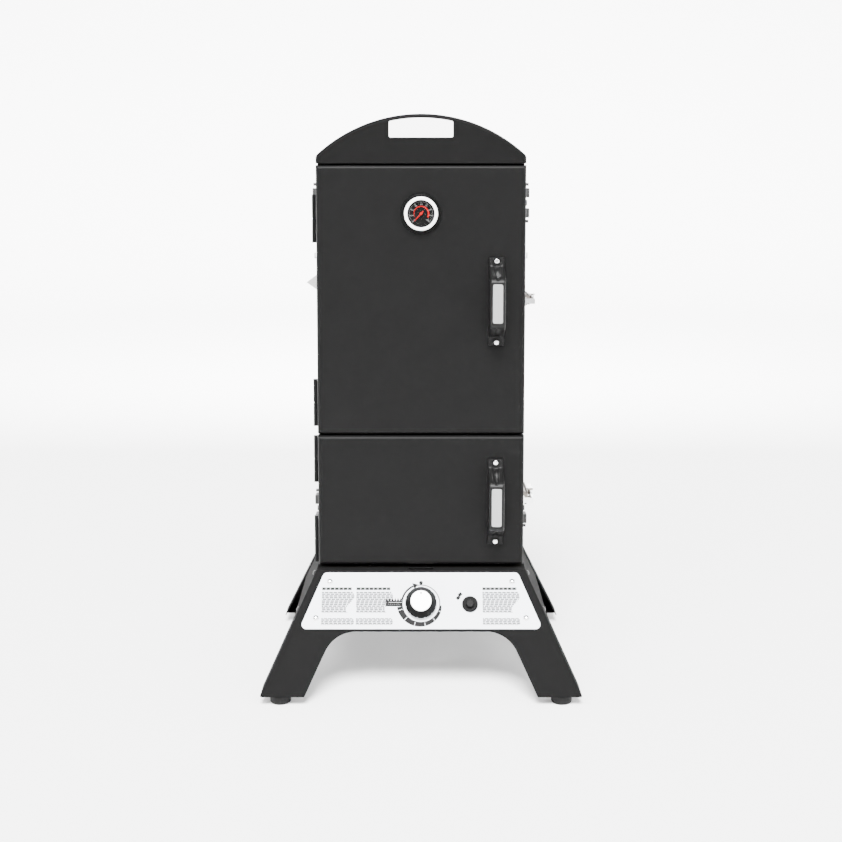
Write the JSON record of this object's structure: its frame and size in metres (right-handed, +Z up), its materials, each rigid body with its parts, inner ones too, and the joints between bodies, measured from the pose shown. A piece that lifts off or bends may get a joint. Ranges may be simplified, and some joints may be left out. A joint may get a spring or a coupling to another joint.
{
  "type": "cabinet smoker",
  "caption": "Tall black cabinet smoker with two hinged doors, an arched roof and side dampers, on a splayed sheet-metal base with gas controls.",
  "frame": {"origin": "on the floor, at the middle of the rectangle that the legs' bottom edges stand on", "axes": "+Z up; -Y towards a person who faces the doors; +X to that person's right, the latch side"},
  "size_m": [0.6746, 0.609, 1.2314],
  "materials": {
    "door_coat": "satin black powder coat",
    "roof_coat": "satin black powder coat",
    "shell_coat": "satin black powder coat",
    "base_coat": "satin black powder coat",
    "hinge_coat": "satin black paint",
    "damper_coat": "black high-temperature paint on cast aluminium",
    "fastener_black": "black oxide",
    "liner_steel": "plain aluminised steel",
    "control_steel": "brushed stainless",
    "badge_steel": "brushed stainless",
    "bowl_steel": "pressed stainless",
    "grid_steel": "plated wire",
    "hook_steel": "stainless",
    "bright_chrome": "bright chrome",
    "latch_pad": "dull cast metal",
    "burner_steel": "stainless, heat tinted",
    "valve_brass": "machined brass",
    "stem_steel": "turned steel",
    "knob_plastic": "fine-textured moulding",
    "button_plastic": "moulded",
    "cap_metal": "satin anodised",
    "electrode_ceramic": "glazed ceramic",
    "handle_plastic": "satin moulding",
    "inlay_metal": "brushed and anodised",
    "gauge_black": "gloss black",
    "gauge_rim": "polished",
    "gauge_dial": "printed, matte",
    "gauge_red": "red enamel",
    "seal_rope": "braided glass rope",
    "foot_plastic": "moulded nylon"
  },
  "bodies": {
    "cabinet": {"front_leg_panel": "base_coat", "rear_leg_panel": "base_coat", "base_side_panels": "base_coat", "control_plate": "control_steel", "plate_screws": "bright_chrome", "body_fasteners": "fastener_black", "outer_shell": "shell_coat", "face_frame": "shell_coat", "floor_pan": "shell_coat", "inner_liner": "liner_steel", "roof_cap": "roof_coat", "badge_plate": "badge_steel", "door_gaskets": "seal_rope", "rack_rails": "liner_steel", "cooking_grids": "grid_steel", "water_bowl": "bowl_steel", "chip_box": "bowl_steel", "burner": "burner_steel", "gas_valve": "valve_brass", "igniter_body": "knob_plastic", "igniter_electrode": "electrode_ceramic", "hinge_frame_leaves": "hinge_coat", "tool_hooks": "hook_steel", "bottle_opener": "hook_steel", "latch_bases": "latch_pad"},
    "upper_door": {"upper_door_pan": "door_coat", "upper_door_liner": "liner_steel", "upper_handle": "handle_plastic", "upper_handle_inlay": "inlay_metal", "upper_handle_bolts": "bright_chrome", "upper_hinge_leaves": "hinge_coat", "upper_latch_keeper": "bright_chrome", "thermometer_bezel": "gauge_black", "thermometer_case": "gauge_rim", "thermometer_dial": "gauge_dial"},
    "lower_door": {"lower_door_pan": "door_coat", "lower_door_liner": "liner_steel", "lower_handle": "handle_plastic", "lower_handle_inlay": "inlay_metal", "lower_handle_bolts": "bright_chrome", "lower_hinge_leaves": "hinge_coat", "lower_latch_keeper": "bright_chrome"},
    "thermometer_pointer": {"thermometer_pointer": "gauge_red"},
    "valve_plug": {"valve_plug": "valve_brass"},
    "control_knob": {"valve_stem": "stem_steel", "control_knob": "knob_plastic", "knob_cap": "cap_metal"},
    "igniter_button": {"igniter_button": "button_plastic"},
    "upper_latch_lever": {"upper_latch_lever": "bright_chrome"},
    "upper_latch_claw": {"upper_latch_claw": "bright_chrome"},
    "lower_latch_lever": {"lower_latch_lever": "bright_chrome"},
    "lower_latch_claw": {"lower_latch_claw": "bright_chrome"},
    "foot_front_left": {"foot_front_left": "foot_plastic"},
    "foot_front_right": {"foot_front_right": "foot_plastic"},
    "foot_rear_left": {"foot_rear_left": "foot_plastic"},
    "foot_rear_right": {"foot_rear_right": "foot_plastic"},
    "damper_upper_left": {"damper_upper_left": "damper_coat"},
    "damper_upper_right": {"damper_upper_right": "damper_coat"},
    "damper_lower_left": {"damper_lower_left": "damper_coat"},
    "damper_lower_right": {"damper_lower_right": "damper_coat"}
  },
  "joints": [
    {"name": "upper_door_hinge", "type": "hinge", "parent": "cabinet", "child": "upper_door", "pos_m": [-0.2285, -0.122, 0.8123], "axis": [0, 0, -1], "range_deg": [0, 135]},
    {"name": "lower_door_hinge", "type": "hinge", "parent": "cabinet", "child": "lower_door", "pos_m": [-0.2285, -0.122, 0.4004], "axis": [0, 0, -1], "range_deg": [0, 135]},
    {"name": "thermometer_sweep", "type": "hinge", "parent": "upper_door", "child": "thermometer_pointer", "pos_m": [0, -0.165, 1.0226], "axis": [0, 1, 0], "range_deg": [0, 258], "stiffness_Nm_per_rad": 0.0006, "springref_deg": -57.3},
    {"name": "knob_turn", "type": "hinge", "parent": "cabinet", "child": "valve_plug", "pos_m": [0, -0.20734, 0.1908], "axis": [0, -0.8692, 0.4945], "range_deg": [0, 255]},
    {"name": "knob_push", "type": "slide", "parent": "valve_plug", "child": "control_knob", "axis": [0, 0.8692, -0.4945], "range_m": [0, 0.0035], "stiffness_N_per_m": 1500, "springref_m": -0.004},
    {"name": "igniter_push", "type": "slide", "parent": "cabinet", "child": "igniter_button", "axis": [0, 0.8692, -0.4945], "range_m": [0, 0.006], "stiffness_N_per_m": 1200, "springref_m": -0.004},
    {"name": "damper_upper_left_turn", "type": "hinge", "parent": "cabinet", "child": "damper_upper_left", "pos_m": [-0.221, 0.042, 1.043], "axis": [-1, 0, 0], "range_deg": [0, 90]},
    {"name": "damper_upper_right_turn", "type": "hinge", "parent": "cabinet", "child": "damper_upper_right", "pos_m": [0.221, 0.042, 1.043], "axis": [1, 0, 0], "range_deg": [0, 90]},
    {"name": "damper_lower_left_turn", "type": "hinge", "parent": "cabinet", "child": "damper_lower_left", "pos_m": [-0.221, 0.042, 0.34], "axis": [-1, 0, 0], "range_deg": [0, 90]},
    {"name": "damper_lower_right_turn", "type": "hinge", "parent": "cabinet", "child": "damper_lower_right", "pos_m": [0.221, 0.042, 0.34], "axis": [1, 0, 0], "range_deg": [0, 90]},
    {"name": "upper_latch_lever_turn", "type": "hinge", "parent": "cabinet", "child": "upper_latch_lever", "pos_m": [0.243, -0.078, 0.836], "axis": [0, 0, -1], "range_deg": [0, 120]},
    {"name": "upper_latch_claw_turn", "type": "hinge", "parent": "upper_latch_lever", "child": "upper_latch_claw", "pos_m": [0.2422, -0.066, 0.836], "axis": [0, 0, -1], "range_deg": [-138, 0]},
    {"name": "lower_latch_lever_turn", "type": "hinge", "parent": "cabinet", "child": "lower_latch_lever", "pos_m": [0.243, -0.078, 0.402], "axis": [0, 0, -1], "range_deg": [0, 120]},
    {"name": "lower_latch_claw_turn", "type": "hinge", "parent": "lower_latch_lever", "child": "lower_latch_claw", "pos_m": [0.2422, -0.066, 0.402], "axis": [0, 0, -1], "range_deg": [-138, 0]},
    {"name": "foot_front_left_screw", "type": "slide", "parent": "cabinet", "child": "foot_front_left", "axis": [0, 0, -1], "range_m": [0, 0.01]},
    {"name": "foot_front_right_screw", "type": "slide", "parent": "cabinet", "child": "foot_front_right", "axis": [0, 0, -1], "range_m": [0, 0.01]},
    {"name": "foot_rear_left_screw", "type": "slide", "parent": "cabinet", "child": "foot_rear_left", "axis": [0, 0, -1], "range_m": [0, 0.01]},
    {"name": "foot_rear_right_screw", "type": "slide", "parent": "cabinet", "child": "foot_rear_right", "axis": [0, 0, -1], "range_m": [0, 0.01]}
  ],
  "couplings": [
    {"joint": "upper_latch_claw_turn", "follows": "upper_latch_lever_turn", "ratio": -1.15},
    {"joint": "lower_latch_claw_turn", "follows": "lower_latch_lever_turn", "ratio": -1.15}
  ]
}
